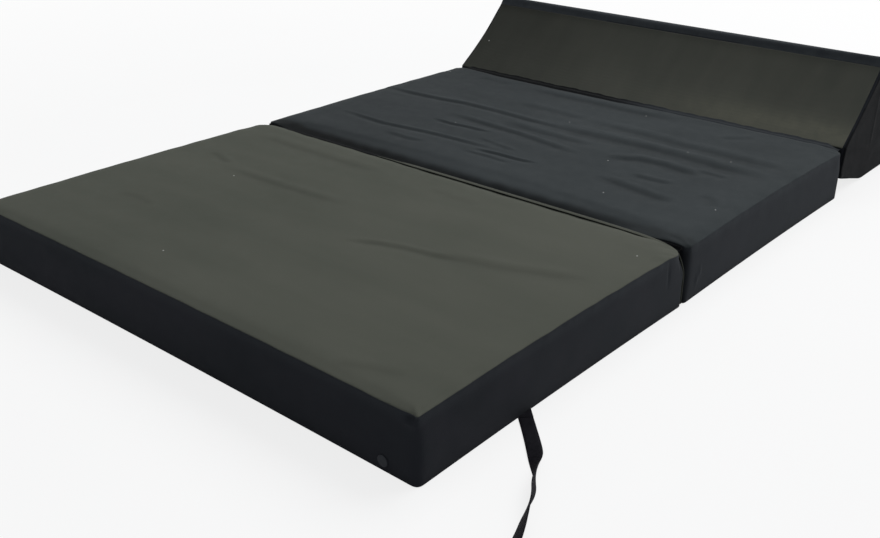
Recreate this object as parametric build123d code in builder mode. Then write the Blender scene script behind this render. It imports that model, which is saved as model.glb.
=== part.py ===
from build123d import *
import math
import os

# Folding foam chair bed, laid out for sleeping: a front and a middle mattress block and a headrest wedge,
# each a foam core in a zipped cloth cover, joined at their top edges by sewn hinge strips, and a webbing
# tie strap under the front block. X runs across the bed, +Y from the foot end to the headrest, +Z up.
# The origin is on the floor, under the middle of the laid-out bed. All lengths are in millimetres.

# Whole bed
bed_width = 1200
block_length = 770
headrest_depth = 448
block_height = 125
joint_gap = 6

# Cushion shape
crown_rise = 4
side_draw = 3
edge_radius = 9
corner_radius = 16

# Covers and cores
cover_thickness = 1.6
core_clearance = 0.3
top_seam_drop = 3
base_seam_height = 9

# Headrest wedge, measured from its hinge edge: along the bed and up
face_bend_run = 97
face_bend_rise = 72
face_run = 185
face_rise = 161
band_run = 15
band_rise = 23
crest_depth = 30
crest_drop = 4
rear_height = 45
base_setback = 165
joint_face_height = 80
side_seam_inset = 10

# Headrest roundings, in the order of the outline's corners
face_bend_radius = 900
band_radius = 20
crest_radius = 16
rear_radius = 25
rear_base_radius = 14
underside_radius = 80
joint_foot_radius = 16

# Sewn hinge strips
strip_thickness = 1.2
strip_clearance = 0.3
strip_width = 18
hinge_play = 0.15
fold_clearance = 0.3

# Zips
block_zip_inset = 145
headrest_zip_inset = 150
headrest_zip_share = 0.78
zip_width = 28
tape_thickness = 0.8
coil_width = 5
coil_rise = 0.4
slot_depth = 5
stop_length = 3
stop_rise = 1
zip_play = 0.3
slider_length = 13
slider_width = 9
slider_nose_width = 6.4
slider_plate = 1.8
slider_lip = 1.2
slider_edge_radius = 0.5
cheek_thickness = 1
cheek_length = 3.6
cheek_rise = 3.4
pin_radius = 0.8
pin_play = 0.15
eye_radius = 1.9
pull_length = 24
pull_width = 7
pull_thickness = 1.2
pull_neck_width = 3.4
pull_neck_length = 4

# Press stud on the foot end
stud_inset = 68
stud_height = 21
stud_radius = 10
stud_rise = 1.8
stud_round = 1.2
stud_seat_gap = 0.2
stud_post_radius = 2
stud_hole_play = 0.2
washer_radius = 7
washer_thickness = 1
washer_recess = 2.2

# Tie strap
strap_width = 25
strap_thickness = 1.6
anchor_thickness = 2.4
tip_length = 20
tip_thickness = 3.2
arc_share = 0.45

# The strap's route on the floor, from its exit beside the front block to its free end,
# as (X, Y) from the foot end's right corner
strap_route = [
    (4, 254),
    (43, 216),
    (86, 168),
    (111, 132),
    (132, 84),
    (147, 44),
    (168, 2),
    (183, -42),
    (189, -88),
]
anchor_length = 24

# Overrun of cutting tools past the faces that they cut
overrun = 20

# Places worked out from the sizes
bed_length = 2 * block_length + 2 * joint_gap + headrest_depth
foot_y = -bed_length / 2
front_centre_y = foot_y + block_length / 2
middle_centre_y = foot_y + block_length * 3 / 2 + joint_gap
headrest_y = bed_length / 2 - headrest_depth
front_axis_y = foot_y + block_length + joint_gap / 2
headrest_axis_y = headrest_y - joint_gap / 2
axis_height = block_height + crown_rise + fold_clearance
core_inset = cover_thickness + core_clearance
crown_radius = ((block_length / 2) ** 2 + crown_rise**2) / (2 * crown_rise)
block_zip_length = block_length - 2 * block_zip_inset
block_zip_height = block_height / 2
headrest_zip_length = bed_width - 2 * headrest_zip_inset
stud_across = bed_width / 2 - stud_inset
strap_points = [(bed_width / 2 + across, foot_y + along) for across, along in strap_route]

os.makedirs("parts", exist_ok=True)


def write(piece, label):
    """Labels a finished piece and writes its file."""
    piece.label = label
    export_step(piece, f"parts/{label}.step")


def drawn_in(distance, half_length):
    """How far a drawn-in side lies inside its corners, at a distance from the side's middle."""
    return side_draw * (1 - (distance / half_length) ** 2)


def block_form(centre_y, inset):
    """A mattress block, less an inset all round: drawn-in sides, crowned top, flat base, rounded edges."""
    half_x = bed_width / 2 - inset
    half_y = block_length / 2 - inset
    with BuildPart() as form:
        with BuildSketch(Plane((0, centre_y, inset))):
            with BuildLine():
                ThreePointArc((-half_x, -half_y), (0, side_draw - half_y), (half_x, -half_y))
                ThreePointArc((half_x, -half_y), (half_x - side_draw, 0), (half_x, half_y))
                ThreePointArc((half_x, half_y), (0, half_y - side_draw), (-half_x, half_y))
                ThreePointArc((-half_x, half_y), (side_draw - half_x, 0), (-half_x, -half_y))
            outline = make_face()
            fillet(outline.vertices(), corner_radius - inset)
        extrude(amount=block_height + crown_rise + overrun)
        with Locations((0, centre_y, block_height + crown_rise - crown_radius)):
            Cylinder(crown_radius - inset, 2 * bed_width, rotation=(0, 90, 0), mode=Mode.INTERSECT)
        fillet(form.faces().sort_by(Axis.Z)[-1].edges(), edge_radius - inset)
        fillet(form.faces().sort_by(Axis.Z)[0].edges(), edge_radius - inset)
    return form.part


# Corners of the headrest's section as (Y, Z), from the hinge edge up the face, over and round the base
crest_y = headrest_y + face_run + band_run
crest_z = block_height + face_rise + band_rise
rear_y = headrest_y + headrest_depth
section_corners = [
    (headrest_y, block_height),
    (headrest_y + face_bend_run, block_height + face_bend_rise),
    (headrest_y + face_run, block_height + face_rise),
    (crest_y, crest_z),
    (crest_y + crest_depth, crest_z - crest_drop),
    (rear_y, rear_height),
    (rear_y, 0),
    (headrest_y + base_setback, 0),
    (headrest_y, block_height - joint_face_height),
]
section_radii = [
    edge_radius,
    face_bend_radius,
    band_radius,
    crest_radius,
    crest_radius,
    rear_radius,
    rear_base_radius,
    underside_radius,
    joint_foot_radius,
]


def headrest_form(inset):
    """The headrest wedge, less an inset all round: concave face, rounded crest, ends drawn in."""
    half_x = bed_width / 2 - inset
    draw_x = half_x - side_draw
    near_y = headrest_y - overrun
    far_y = rear_y + overrun
    middle_y = (near_y + far_y) / 2
    with BuildPart() as form:
        with BuildSketch(Plane.YZ):
            with BuildLine():
                FilletPolyline(*section_corners, radius=section_radii, close=True)
            make_face()
            offset(amount=-inset)
        extrude(amount=half_x, both=True)
        with BuildSketch(Plane.XY.offset(-overrun)):
            with BuildLine():
                Line((-half_x, near_y), (half_x, near_y))
                ThreePointArc((half_x, near_y), (draw_x, middle_y), (half_x, far_y))
                Line((half_x, far_y), (-half_x, far_y))
                ThreePointArc((-half_x, far_y), (-draw_x, middle_y), (-half_x, near_y))
            make_face()
        extrude(amount=crest_z + 2 * overrun, mode=Mode.INTERSECT)
        for end_face in (form.faces().sort_by(Axis.X)[0], form.faces().sort_by(Axis.X)[-1]):
            fillet(end_face.edges(), edge_radius - inset)
    return form.part


def section_slab(half_width, corners):
    """A slab across the bed, to a half width, with a polygon of (Y, Z) corners as its section."""
    with BuildPart() as slab:
        with BuildSketch(Plane.YZ):
            with BuildLine():
                Polyline(*corners, close=True)
            make_face()
        extrude(amount=half_width, both=True)
    return slab.part


def zip_slot(plane, length):
    """The slot that a zip fills in a cover. The plane lies on the cloth, its X along the zip."""
    with BuildPart() as slot:
        with BuildSketch(plane.offset(-slot_depth)):
            Rectangle(length, zip_width)
        extrude(amount=2 * slot_depth)
    return slot.part


def make_zip(prefix, plane, length):
    """The tapes, coil, stops, slider and pull tab of one closed zip."""
    tape_width = (zip_width - coil_width) / 2
    stop_place = (length - stop_length) / 2
    slider_place = length / 2 - stop_length - zip_play - slider_length / 2
    plate_base = coil_rise + zip_play
    plate_top = plate_base + slider_plate
    pin_height = plate_top + eye_radius + zip_play
    cheek_place = pull_neck_width / 2 + zip_play + cheek_thickness / 2

    with BuildPart() as tapes:
        with BuildSketch(plane.offset(-cover_thickness)):
            with Locations((0, (coil_width + tape_width) / 2), (0, -(coil_width + tape_width) / 2)):
                Rectangle(length, tape_width)
        extrude(amount=tape_thickness)
    write(tapes.part, f"{prefix}_zip_tapes")

    with BuildPart() as coil:
        with BuildSketch(plane.offset(-cover_thickness)):
            Rectangle(length, coil_width)
        extrude(amount=cover_thickness + coil_rise)
    write(coil.part, f"{prefix}_zip_coil")

    with BuildPart() as stops:
        with BuildSketch(plane.offset(coil_rise)):
            with Locations((stop_place, 0), (-stop_place, 0)):
                Rectangle(stop_length, coil_width)
        extrude(amount=stop_rise)
    write(stops.part, f"{prefix}_zip_stops")

    with BuildPart() as slider:
        with BuildSketch(plane.offset(plate_base)):
            with BuildLine():
                Polyline(
                    (slider_place - slider_length / 2, -slider_nose_width / 2),
                    (slider_place + slider_length / 2, -slider_width / 2),
                    (slider_place + slider_length / 2, slider_width / 2),
                    (slider_place - slider_length / 2, slider_nose_width / 2),
                    close=True,
                )
            make_face()
        extrude(amount=slider_plate)
        fillet(slider.faces().sort_by(Axis(plane.origin, plane.z_dir))[-1].edges(), slider_edge_radius)
        with BuildSketch(plane.offset(plate_base - slider_lip)):
            with Locations((slider_place + slider_length / 4, 0)):
                Rectangle(slider_length / 2, slider_width - 2 * slider_edge_radius)
                Rectangle(slider_length / 2, coil_width + 2 * zip_play, mode=Mode.SUBTRACT)
        extrude(amount=slider_lip)
        with BuildSketch(plane.offset(plate_top - slider_edge_radius)):
            with Locations((slider_place, cheek_place), (slider_place, -cheek_place)):
                Rectangle(cheek_length, cheek_thickness)
        extrude(amount=cheek_rise + slider_edge_radius)
        pin_start = plane.from_local_coords((slider_place, -cheek_place, pin_height))
        pin_plane = Plane(pin_start, x_dir=plane.x_dir, z_dir=plane.y_dir)
        with BuildSketch(pin_plane):
            Circle(pin_radius)
        extrude(amount=2 * cheek_place)
    write(slider.part, f"{prefix}_zip_slider")

    eye_plane = pin_plane.offset(cheek_place - pull_neck_width / 2)
    with BuildPart() as pull:
        with BuildSketch(plane.offset(pin_height - pull_thickness / 2)):
            with Locations((slider_place - pull_neck_length / 2, 0)):
                Rectangle(pull_neck_length, pull_neck_width)
            with Locations((slider_place - (pull_neck_length + pull_length) / 2, 0)):
                RectangleRounded(pull_length - pull_neck_length, pull_width, pull_width / 4)
        extrude(amount=pull_thickness)
        with BuildSketch(eye_plane):
            Circle(eye_radius)
        extrude(amount=pull_neck_width)
        with BuildSketch(eye_plane):
            Circle(pin_radius + pin_play)
        extrude(amount=pull_neck_width, mode=Mode.SUBTRACT)
    write(pull.part, f"{prefix}_zip_pull")


def shell_band(outer, inner, low, high):
    """The part of a block's cover that lies between two heights."""
    with BuildPart() as band:
        add(outer)
        add(inner, mode=Mode.SUBTRACT)
        split(bisect_by=Plane.XY.offset(low), keep=Keep.TOP)
        split(bisect_by=Plane.XY.offset(high), keep=Keep.BOTTOM)
    return band.part


def make_block(name, centre_y, core_cut, border_cut):
    """The core, cover panels and zip of one block, with a cut of its own in the core and the border."""
    outer = block_form(centre_y, 0)
    inner = block_form(centre_y, cover_thickness)
    core_solid = block_form(centre_y, core_inset)
    top_seam = block_height - top_seam_drop
    zip_x = drawn_in(block_zip_length / 2, block_length / 2) - bed_width / 2
    zip_plane = Plane((zip_x, centre_y, block_zip_height), x_dir=(0, 1, 0), z_dir=(-1, 0, 0))
    border_band = shell_band(outer, inner, base_seam_height, top_seam)
    slot = zip_slot(zip_plane, block_zip_length)

    with BuildPart() as core:
        add(core_solid)
        add(core_cut, mode=Mode.SUBTRACT)
    write(core.part, f"{name}_foam_core")

    with BuildPart() as border:
        add(border_band)
        add(slot, mode=Mode.SUBTRACT)
        add(border_cut, mode=Mode.SUBTRACT)
    write(border.part, f"{name}_border")

    write(shell_band(outer, inner, top_seam, axis_height + overrun), f"{name}_top_panel")
    write(shell_band(outer, inner, -overrun, base_seam_height), f"{name}_base_panel")
    make_zip(name, zip_plane, block_zip_length)


# Press stud: its plane lies on the foot end's cloth, facing out
stud_y = foot_y + drawn_in(stud_across, bed_width / 2)
stud_plane = Plane((stud_across, stud_y, stud_height), x_dir=(1, 0, 0), z_dir=(0, -1, 0))
stud_back = cover_thickness + stud_seat_gap + washer_thickness

with BuildPart() as front_stud_cap:
    with BuildSketch(stud_plane.offset(stud_seat_gap)):
        Circle(stud_radius)
    extrude(amount=stud_rise)
    fillet(front_stud_cap.edges().sort_by(Axis.Y)[0], stud_round)
    with BuildSketch(stud_plane.offset(-stud_back)):
        Circle(stud_post_radius)
    extrude(amount=stud_back + stud_seat_gap)
write(front_stud_cap.part, "front_stud_cap")

with BuildPart() as front_stud_washer:
    with BuildSketch(stud_plane.offset(-stud_back)):
        Circle(washer_radius)
        Circle(stud_post_radius + stud_hole_play, mode=Mode.SUBTRACT)
    extrude(amount=washer_thickness)
write(front_stud_washer.part, "front_stud_washer")

with BuildPart() as stud_hole:
    with BuildSketch(stud_plane.offset(-cover_thickness - stud_seat_gap)):
        Circle(stud_post_radius + stud_hole_play)
    extrude(amount=cover_thickness + overrun)

with BuildPart() as washer_pocket:
    with BuildSketch(stud_plane.offset(-cover_thickness - washer_recess)):
        Circle(washer_radius + stud_hole_play)
    extrude(amount=washer_recess)

# Mattress blocks. The middle block has no stud, so its cuts lie clear of it
make_block("front", front_centre_y, washer_pocket.part, stud_hole.part)
make_block("middle", middle_centre_y, washer_pocket.part, stud_hole.part)

# Hinge strips: each lies on its own section and slopes up to meet the other at the hinge line
def block_strip(edge_y, axis_y, side):
    """A strip's section on a block's top, as (Y, Z) corners. Side is 1 for a block at lower Y, else -1."""
    seat_y = edge_y - side * (edge_radius + side_draw)
    end_y = edge_y - side * strip_width
    meet_y = axis_y - side * hinge_play
    end_rise = crown_rise * (1 - (1 - 2 * strip_width / block_length) ** 2)
    seat_z = block_height + end_rise + strip_clearance
    meet_z = axis_height - hinge_play
    return [
        (end_y, seat_z),
        (seat_y, seat_z),
        (meet_y, meet_z - strip_thickness),
        (meet_y, meet_z),
        (seat_y, seat_z + strip_thickness),
        (end_y, seat_z + strip_thickness),
    ]


def headrest_strip():
    """The section of the strip on the headrest's face, as (Y, Z) corners."""
    face_way = Vector(face_bend_run, face_bend_rise).normalized()
    face_out = Vector(-face_way.Y, face_way.X)
    end_low = Vector(headrest_y, block_height) + face_way * strip_width + face_out * strip_clearance
    end_high = end_low + face_out * strip_thickness
    meet_y = headrest_axis_y + hinge_play
    meet_z = axis_height - hinge_play
    return [
        (meet_y, meet_z - strip_thickness),
        (end_low.X, end_low.Y),
        (end_high.X, end_high.Y),
        (meet_y, meet_z),
    ]


strip_half_width = bed_width / 2 - corner_radius
strip_sections = {
    "front_hinge_strip": block_strip(front_axis_y - joint_gap / 2, front_axis_y, 1),
    "middle_near_hinge_strip": block_strip(front_axis_y + joint_gap / 2, front_axis_y, -1),
    "middle_far_hinge_strip": block_strip(headrest_axis_y - joint_gap / 2, headrest_axis_y, 1),
    "headrest_hinge_strip": headrest_strip(),
}
for name, corners in strip_sections.items():
    write(section_slab(strip_half_width, corners), name)

# Headrest. Its cover's seams lie on rays from a hub inside the section
headrest_outer = headrest_form(0)
headrest_inner = headrest_form(cover_thickness)
headrest_core_solid = headrest_form(core_inset)
hub = Vector(headrest_y + face_run, joint_face_height)
reach = headrest_depth
seam_half_width = bed_width / 2 - side_seam_inset


def seam_ray(seam_y, seam_z):
    """The far end of a ray from the hub through a seam, as (Y, Z)."""
    along = (Vector(seam_y, seam_z) - hub).normalized()
    end = hub + along * reach
    return (end.X, end.Y)


hinge_ray = seam_ray(headrest_y, block_height - top_seam_drop)
band_ray = seam_ray(headrest_y + face_run, block_height + face_rise)
rear_ray = seam_ray(rear_y, base_seam_height)
foot_ray = seam_ray(headrest_y, block_height - joint_face_height)
hub_point = (hub.X, hub.Y)

panel_sections = {
    "headrest_face_panel": [hub_point, hinge_ray, (hinge_ray[0], band_ray[1]), band_ray],
    "headrest_back_panel": [hub_point, band_ray, (rear_ray[0], band_ray[1]), rear_ray],
    "headrest_base_panel": [hub_point, rear_ray, (rear_ray[0], -reach), (foot_ray[0], -reach), foot_ray],
    "headrest_joint_panel": [hub_point, foot_ray, hinge_ray],
}

crest_end = Vector(0, crest_y + crest_depth, crest_z - crest_drop)
rear_top = Vector(0, rear_y, rear_height)
back_slope = (rear_top - crest_end).normalized()
back_zip_point = crest_end + (rear_top - crest_end) * headrest_zip_share
back_zip_plane = Plane(back_zip_point, x_dir=(1, 0, 0), z_dir=(0, -back_slope.Z, back_slope.Y))
back_slot = zip_slot(back_zip_plane, headrest_zip_length)

with BuildPart() as headrest_foam_core:
    add(headrest_core_solid)
write(headrest_foam_core.part, "headrest_foam_core")

for name, corners in panel_sections.items():
    slab = section_slab(seam_half_width, corners)
    with BuildPart() as panel:
        add(headrest_outer)
        add(headrest_inner, mode=Mode.SUBTRACT)
        add(slab, mode=Mode.INTERSECT)
        if name == "headrest_back_panel":
            add(back_slot, mode=Mode.SUBTRACT)
    write(panel.part, name)

for side, keep in (("left", Keep.BOTTOM), ("right", Keep.TOP)):
    seam_plane = Plane.YZ.offset(seam_half_width if keep == Keep.TOP else -seam_half_width)
    with BuildPart() as side_panel:
        add(headrest_outer)
        add(headrest_inner, mode=Mode.SUBTRACT)
        split(bisect_by=seam_plane, keep=keep)
    write(side_panel.part, f"headrest_{side}_side")

make_zip("headrest", back_zip_plane, headrest_zip_length)


def route_radii(points):
    """The arc at each inner point of a route, as large as the shorter of its two runs allows."""
    radii = []
    for before, corner, after in zip(points, points[1:], points[2:]):
        first = Vector(*corner) - Vector(*before)
        second = Vector(*after) - Vector(*corner)
        half_turn = math.radians(first.get_angle(second)) / 2
        radii.append(arc_share * min(first.length, second.length) / math.tan(half_turn))
    return radii


# Tie strap, flat on the floor, with its sewn end under the block's edge and a folded hem at its free end
strap_radii = route_radii(strap_points)
with BuildPart() as tie_strap:
    with BuildSketch():
        with BuildLine() as strap_line:
            FilletPolyline(*strap_points, radius=strap_radii)
        trace(line_width=strap_width)
    extrude(amount=strap_thickness)
write(tie_strap.part, "tie_strap")

strap_start = Vector(*strap_points[0])
strap_end = Vector(*strap_points[-1])
first_way = (Vector(*strap_points[1]) - strap_start).normalized()
last_way = (strap_end - Vector(*strap_points[-2])).normalized()

anchor_cut = block_form(front_centre_y, -strip_clearance)

with BuildPart() as tie_strap_anchor:
    with BuildSketch():
        with BuildLine():
            Line(strap_start - first_way * anchor_length, strap_start)
        trace(line_width=strap_width)
    extrude(amount=anchor_thickness)
    add(anchor_cut, mode=Mode.SUBTRACT)
write(tie_strap_anchor.part, "tie_strap_anchor")

with BuildPart() as tie_strap_tip:
    with BuildSketch():
        with BuildLine():
            Line(strap_end, strap_end + last_way * tip_length)
        trace(line_width=strap_width)
    extrude(amount=tip_thickness)
write(tie_strap_tip.part, "tie_strap_tip")

strap_length = sum(edge.length for edge in strap_line.line.edges())
volume_share = tie_strap.part.volume / (strap_width * strap_thickness * strap_length)
print("strap radii", [round(radius) for radius in strap_radii])
print("strap length", round(strap_length, 1), "volume over section", round(volume_share, 4))
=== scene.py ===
import math

import bmesh
import bpy
import numpy as np
from mathutils import Matrix, Vector


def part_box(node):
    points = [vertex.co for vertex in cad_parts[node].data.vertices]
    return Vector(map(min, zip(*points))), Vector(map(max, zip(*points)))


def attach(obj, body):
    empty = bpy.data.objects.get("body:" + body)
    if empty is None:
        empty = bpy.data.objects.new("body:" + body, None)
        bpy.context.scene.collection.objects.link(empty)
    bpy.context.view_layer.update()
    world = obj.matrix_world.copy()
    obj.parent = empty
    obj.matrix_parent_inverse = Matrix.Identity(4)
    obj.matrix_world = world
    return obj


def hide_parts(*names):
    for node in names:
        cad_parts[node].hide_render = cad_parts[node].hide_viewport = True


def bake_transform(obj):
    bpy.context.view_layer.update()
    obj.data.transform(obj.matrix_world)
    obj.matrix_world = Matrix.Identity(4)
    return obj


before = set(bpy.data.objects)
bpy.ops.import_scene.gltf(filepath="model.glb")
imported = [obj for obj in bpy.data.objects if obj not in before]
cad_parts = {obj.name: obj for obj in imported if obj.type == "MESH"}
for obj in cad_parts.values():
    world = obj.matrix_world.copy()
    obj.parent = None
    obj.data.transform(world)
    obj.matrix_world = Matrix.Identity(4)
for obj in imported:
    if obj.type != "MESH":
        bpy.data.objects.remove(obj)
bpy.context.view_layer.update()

# Folding foam chair bed, laid out flat: two mattress blocks and a headrest wedge in sewn covers, and a
# webbing tie strap. X runs across the bed, +Y from the foot end to the headrest, +Z up. Lengths in metres.

# Cushion shape, near the frame's
edge_radius = 0.006
base_radius = 0.003
side_draw = 0.003
crown_rise = 0.004
skin_inset = 0.0014
block_height = 0.125
shoulder_height = block_height - edge_radius
side_waver = 0.0007
top_waver = 0.0006
pucker = 0.0003

# Grid of the cushions: how far the finer steps reach from an edge, and the steps between across the bed
fine_reach = 0.024
across_steps = 104

# Simulation of the covers: how far they may swell, by place, how near a joint is, and their cloth
top_swell = 0.003
side_swell = 0.0018
joint_swell = 0.0012
headrest_swell = 0.0022
joint_reach = 0.02
cover_cloth = {
    "quality": 4, "mass": 0.3, "tension_stiffness": 20, "compression_stiffness": 20, "shear_stiffness": 5,
    "bending_stiffness": 1.0,
}

# Panels of cloth laid over the cushions
panel_lift = 0.0009
panel_tuck = 0.0008
top_limit = 0.1289
top_rest = 0.1272
top_knee = 0.1235

# Headrest section, from its hinge edge up the face, over and round the base, as (run, height)
wedge_low, wedge_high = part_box("headrest_foam_core")
joint_low, joint_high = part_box("headrest_joint_panel")
headrest_y = joint_low.y
rear_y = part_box("headrest_back_panel")[1].y
face_bend = (0.097, 0.072)
face_top = (0.185, 0.161)
band = (0.015, 0.023)
crest = (0.03, -0.004)
rear_height = 0.045
base_setback = 0.165
joint_face_height = 0.08
side_seam_inset = 0.01
section_radii = [0.009, 0.9, 0.02, 0.016, 0.016, 0.025, 0.014, 0.08, 0.016]
section_step = 0.009
headrest_side_radius = 0.008

# Places read from the frame
half_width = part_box("front_border")[1].x
top_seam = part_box("front_border")[1].z
base_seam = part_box("front_border")[0].z
blocks = {
    "front": (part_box("front_border")[0].y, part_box("front_border")[1].y),
    "middle": (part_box("middle_border")[0].y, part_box("middle_border")[1].y),
}
foot_y = blocks["front"][0]
fold_y = (blocks["front"][1] + blocks["middle"][0]) / 2
raise_y = (blocks["middle"][1] + headrest_y) / 2

# Tie strap: its route on the floor from its exit beside the front block, as (X, Y) from the foot end's
# right corner, with the height of the strap's middle where it turns over
strap_width = 0.025
strap_thickness = 0.0016
strap_route = [
    (0.004, 0.254, 0.001),
    (0.043, 0.216, 0.0012),
    (0.086, 0.168, 0.0078),
    (0.111, 0.132, 0.0128),
    (0.137, 0.087, 0.0134),
    (0.153, 0.049, 0.0128),
    (0.173, 0.006, 0.0114),
    (0.187, -0.04, 0.006),
    (0.191, -0.086, 0.001),
]
# The strap's roll about its own line, in degrees, at shares of its length: it stands on one edge midway
strap_roll = [
    (0, 0), (0.14, -2), (0.27, -20), (0.4, -80), (0.48, -114), (0.56, -86), (0.63, -66), (0.72, -56),
    (0.82, -40), (0.92, -10), (1, 0),
]

# Cloth that crosses the joints, as (offset from the joint, height), tucked into the cushions at both ends
joint_cloth_thickness = 0.0012
joint_cloth_reach = 0.584
joint_shade_width = 0.014
fold_section = [
    (-0.014, 0.1222), (-0.01, 0.1238), (-0.006, 0.1238), (-0.0035, 0.1222), (-0.0015, 0.1188),
    (0.001, 0.1152), (0.005, 0.1115), (0.01, 0.108), (0.016, 0.105),
]
raise_section = [
    (-0.016, 0.119), (-0.01, 0.1224), (-0.006, 0.1238), (-0.003, 0.1238), (0, 0.1234),
    (0.003, 0.1237), (0.006, 0.1248), (0.01, 0.1266), (0.016, 0.1288),
]

# Bound edge of the front block along its joint, from where it shows to the foot of the right corner
binding_half_width = 0.0052
binding_half_height = 0.0013
binding_turn_height = 0.1235
binding_route = [
    (-0.2, -0.2372, 0.1243), (-0.12, -0.2366, 0.1255), (0, -0.2364, 0.1259), (0.15, -0.2362, 0.1259),
    (0.3, -0.236, 0.1259), (0.43, -0.2358, 0.1258), (0.5, -0.2364, 0.1248), (0.54, -0.2378, 0.1225),
    (0.567, -0.2402, 0.1185), (0.583, -0.2412, 0.113), (0.5892, -0.2406, 0.104), (0.5932, -0.237, 0.09),
    (0.5962, -0.2338, 0.075), (0.5968, -0.233, 0.06), (0.5968, -0.233, 0.03), (0.5966, -0.2328, 0.006),
]

# Zip trim and thread
tape_thickness = 0.0008
tape_stitch_share = 0.62
tooth_pitch = 0.0024
tooth_size = (0.0048, 0.0016, 0.0018)
tooth_lift = 0.0003
welt_gap = 0.0016
welt_corner = 0.004
welt_half_width = 0.0026
welt_rise = 0.0011
welt_sink = 0.0016
stitch_size = (0.0034, 0.0007, 0.0006)

# Cloth finish
weave_pitch = 0.0011
webbing_pitch = 0.0009
# How dark the painted shade makes the cloth's colour
painted_shade_darkness = 0.22
lint_colour = (0.55, 0.55, 0.53)

# Light and floor
lamp_place = (1.2, 5.4, 6.8)
lamp_size = (8, 6)
lamp_watts = 590
daylight = 0.34
floor_reach = 14
floor_white = 0.8

# Camera, at the photograph's viewing angle
camera_place = (1.4041, -1.9097, 0.9174)
camera_azimuth = 40.145
camera_pitch = 25.065
camera_roll = 0.62
camera_lens = 42.81


def add_camera():
    """The camera, at its place and angles."""
    data = bpy.data.cameras.new("camera")
    camera = bpy.data.objects.new("camera", data)
    bpy.context.scene.collection.objects.link(camera)
    data.lens = camera_lens
    data.sensor_width = 36
    turn = Matrix.Rotation(math.radians(camera_azimuth), 4, "Z")
    tilt = Matrix.Rotation(math.radians(90 - camera_pitch), 4, "X")
    roll = Matrix.Rotation(math.radians(camera_roll), 4, "Z")
    camera.matrix_world = Matrix.Translation(camera_place) @ turn @ tilt @ roll
    bpy.context.scene.camera = camera


def add_lamp():
    """A soft rectangular lamp overhead, pointed at the bed's middle."""
    data = bpy.data.lights.new("overhead", "AREA")
    data.shape = "RECTANGLE"
    data.size, data.size_y = lamp_size
    data.energy = lamp_watts
    lamp = bpy.data.objects.new("overhead", data)
    bpy.context.scene.collection.objects.link(lamp)
    lamp.location = lamp_place
    lamp.rotation_euler = (-Vector(lamp_place)).to_track_quat("-Z", "Y").to_euler()


# Materials


def feed(made, values):
    """Gives a node's sockets their numbers, their colours or what other sockets put out."""
    for key, value in values.items():
        socket = made.inputs[key]
        if isinstance(value, (int, float)):
            socket.default_value = value
        elif isinstance(value, tuple):
            socket.default_value = (*value, 1)[:len(socket.default_value)]
        else:
            socket.id_data.links.new(value, socket)


def node(tree, kind, fed, **settings):
    """A new shader node of a kind, with what goes into its sockets and its settings."""
    made = tree.nodes.new("ShaderNode" + kind)
    for name, value in settings.items():
        setattr(made, name, value)
    feed(made, fed)
    return made


def new_material(name, roughness):
    """A material's node tree and its shader."""
    material = bpy.data.materials.new(name)
    material.use_nodes = True
    tree = material.node_tree
    shader = tree.nodes["Principled BSDF"]
    feed(shader, {"Roughness": roughness})
    return material, tree, shader


def calculated(tree, operation, first, *others):
    """A math node's result from sockets or numbers. Each further value joins the result so far."""
    for other in others or (0.0,):
        first = node(tree, "Math", {0: first, 1: other}, operation=operation).outputs[0]
    return first


def times(tree, *factors):
    """The product of sockets and numbers."""
    return calculated(tree, "MULTIPLY", *factors)


def mixed(tree, share, first, second):
    """A colour between two colours or sockets."""
    return node(tree, "Mix", {0: share, 6: first, 7: second}, data_type="RGBA").outputs[2]


def ranged(tree, value, low, high, to_low=0.0, to_high=1.0):
    """A value carried from one range to another, and held inside it."""
    return node(tree, "MapRange", {0: value, 1: low, 2: high, 3: to_low, 4: to_high}).outputs[0]


def noise(tree, place, scale, detail=2.0, stretch=None):
    """Noise at a scale, stretched along an axis where that is given."""
    if stretch:
        place = node(tree, "Mapping", {"Vector": place, "Scale": stretch}).outputs[0]
    return node(tree, "TexNoise", {"Vector": place, "Scale": scale, "Detail": detail}).outputs["Fac"]


def weave(tree, place, pitch):
    """A plain weave on every side: threads over and under along X, Y and Z."""
    parts = node(tree, "SeparateXYZ", {0: place}).outputs
    turned = [times(tree, parts[axis], math.pi / pitch) for axis in range(3)]
    threads = [calculated(tree, "SINE", turn) for turn in turned]
    crossings = [times(tree, threads[axis], threads[axis - 1]) for axis in range(3)]
    return calculated(tree, "ADD", *crossings)


def bumped(tree, shader, height, strength, distance):
    """Gives the shader its bump."""
    bump = node(tree, "Bump", {"Height": height, "Strength": strength, "Distance": distance})
    feed(shader, {"Normal": bump.outputs[0]})


def object_place(tree):
    """Coordinates that stay with the piece."""
    return node(tree, "TexCoord", {}).outputs["Object"]


def attribute_value(tree, name):
    """A value that the mesh stores at each point."""
    return node(tree, "Attribute", {}, attribute_name=name).outputs["Fac"]


def grey(tone):
    """A colour in linear light from its 8-bit values."""
    shares = [value / 255 for value in tone]
    return tuple(((share + 0.055) / 1.055) ** 2.4 for share in shares)


def lint(tree, place, dust):
    """1 on the few small flakes of lint that lie on top, and 0 elsewhere."""
    cells = node(tree, "TexVoronoi", {"Vector": place, "Scale": 9}, voronoi_dimensions="2D").outputs
    near = ranged(tree, cells["Distance"], 0.011, 0.015, 1, 0)
    chosen = node(tree, "SeparateColor", {0: cells["Color"]}).outputs[0]
    few = calculated(tree, "GREATER_THAN", chosen, 1 - 0.22 * dust)
    facing = node(tree, "SeparateXYZ", {0: node(tree, "TexCoord", {}).outputs["Normal"]}).outputs["Z"]
    return times(tree, near, few, calculated(tree, "GREATER_THAN", facing, 0.5))


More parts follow.
